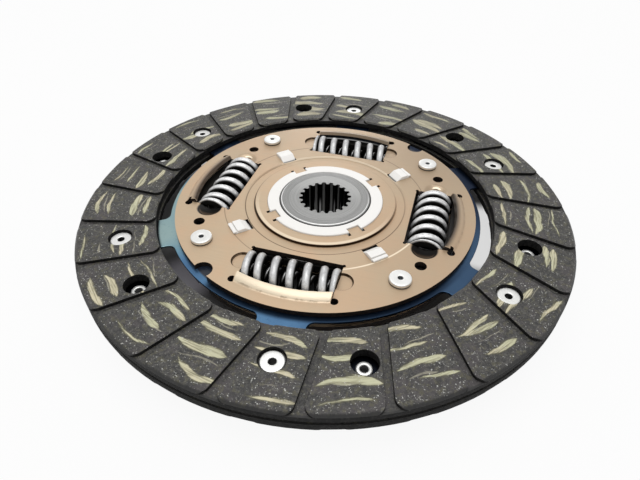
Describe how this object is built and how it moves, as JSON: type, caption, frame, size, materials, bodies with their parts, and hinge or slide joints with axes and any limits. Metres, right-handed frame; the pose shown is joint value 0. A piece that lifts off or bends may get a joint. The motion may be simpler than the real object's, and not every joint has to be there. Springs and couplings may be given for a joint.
{
  "type": "clutch disc",
  "caption": "Dry clutch disc with a splined hub, coil-spring torsion damper, waved cushion disc and riveted grooved friction facings.",
  "frame": {"origin": "on the hub's axis, midway between the two friction faces", "axes": "+Z along the hub's axis to the flywheel side, where the cover plate with the snap hooks is; +X through the middle of a side window"},
  "size_m": [0.2, 0.2, 0.0218],
  "materials": {
    "friction_lining": "dark grey moulded friction material with pale wisps",
    "blued_spring_steel": "heat-blued spring steel",
    "zinc_steel": "bright zinc plated",
    "bronze_phosphated_steel": "satin tan passivated steel",
    "hub_steel": "turned grey steel",
    "dark_steel": "dark phosphated steel",
    "white_plastic": "white moulded nylon",
    "dark_plastic": "dark friction plastic",
    "spring_wire": "satin spring wire"
  },
  "bodies": {
    "disc": {"front_facing": "friction_lining", "rear_facing": "friction_lining", "cushion_disc": "blued_spring_steel", "front_facing_rivets": "zinc_steel", "rear_facing_rivets": "zinc_steel", "front_plate": "bronze_phosphated_steel", "rear_plate": "bronze_phosphated_steel", "stop_pins": "zinc_steel", "hub_bush": "white_plastic", "front_friction_ring": "white_plastic", "rear_friction_washer": "dark_plastic", "pressure_washer": "dark_steel", "disc_spring": "blued_spring_steel", "rear_bush": "white_plastic"},
    "hub_body": {"hub": "hub_steel", "hub_flange": "dark_steel"},
    "spring_set": {"damper_spring_1": "spring_wire", "damper_spring_2": "spring_wire", "damper_spring_3": "spring_wire", "damper_spring_4": "spring_wire", "inner_spring_1": "spring_wire", "inner_spring_2": "spring_wire"}
  },
  "joints": [
    {"name": "hub_turn", "type": "hinge", "parent": "disc", "child": "hub_body", "pos_m": [0, 0, 0], "axis": [0, 0, 1], "range_deg": [-8, 8], "stiffness_Nm_per_rad": 700},
    {"name": "spring_travel", "type": "hinge", "parent": "disc", "child": "spring_set", "pos_m": [0, 0, 0], "axis": [0, 0, 1], "range_deg": [-4, 4], "deforming": ["damper_spring_1", "damper_spring_2", "damper_spring_3", "damper_spring_4", "inner_spring_1", "inner_spring_2"]}
  ],
  "couplings": [
    {"joint": "spring_travel", "follows": "hub_turn", "ratio": 0.5}
  ]
}
